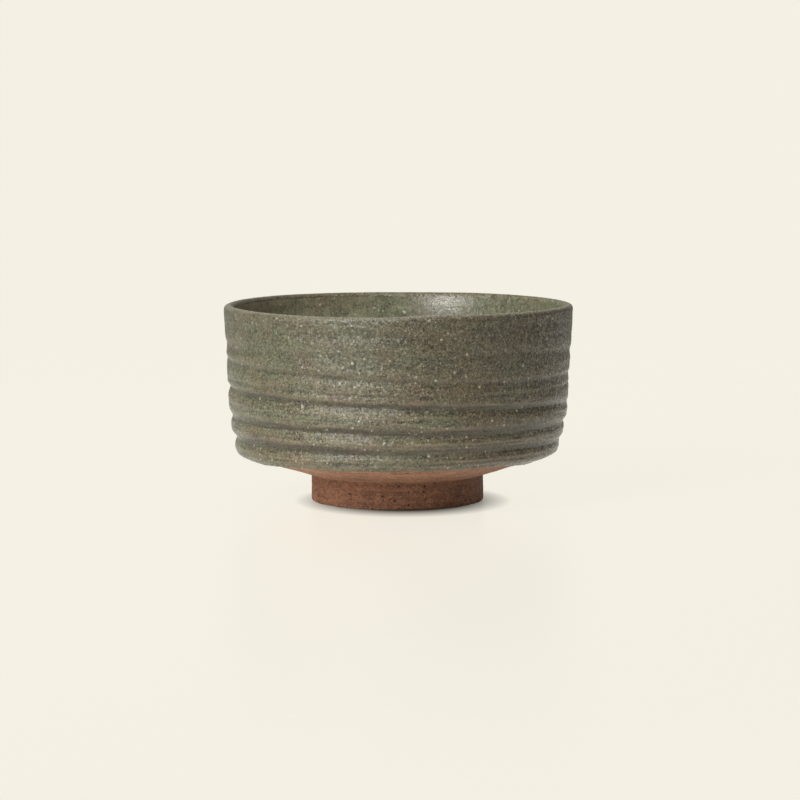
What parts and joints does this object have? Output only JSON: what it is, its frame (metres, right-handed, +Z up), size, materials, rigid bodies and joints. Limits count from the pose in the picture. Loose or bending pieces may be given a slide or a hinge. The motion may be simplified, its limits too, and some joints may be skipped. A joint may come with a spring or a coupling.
{
  "type": "tea bowl",
  "caption": "Wheel-thrown stoneware bowl for whisked tea: ribbed, near-upright glazed wall, soft lip, bare turned underside and an attached foot ring.",
  "frame": {"origin": "centre of the foot ring's tread, on the surface the bowl stands on", "axes": "+Z up along the bowl's axis of turning; +X to the right and -Y towards a person facing the bowl's front"},
  "size_m": [0.121, 0.121, 0.0685],
  "materials": {
    "body_clay": "bare turned stoneware, matt, light orange brown",
    "foot_clay": "bare coarse stoneware, matt, dark reddish brown, pitted",
    "outer_glaze": "satin ash glaze, olive green mottled with brown grey, finely speckled",
    "inner_glaze": "satin ash glaze, darker green, finely speckled",
    "lip_glaze": "thin satin ash glaze, lighter tan green where it wears thin"
  },
  "bodies": {
    "root": {"clay_body": "body_clay", "foot_ring": "foot_clay", "outer_glaze": "outer_glaze", "inner_glaze": "inner_glaze", "lip_glaze": "lip_glaze"}
  },
  "joints": []
}
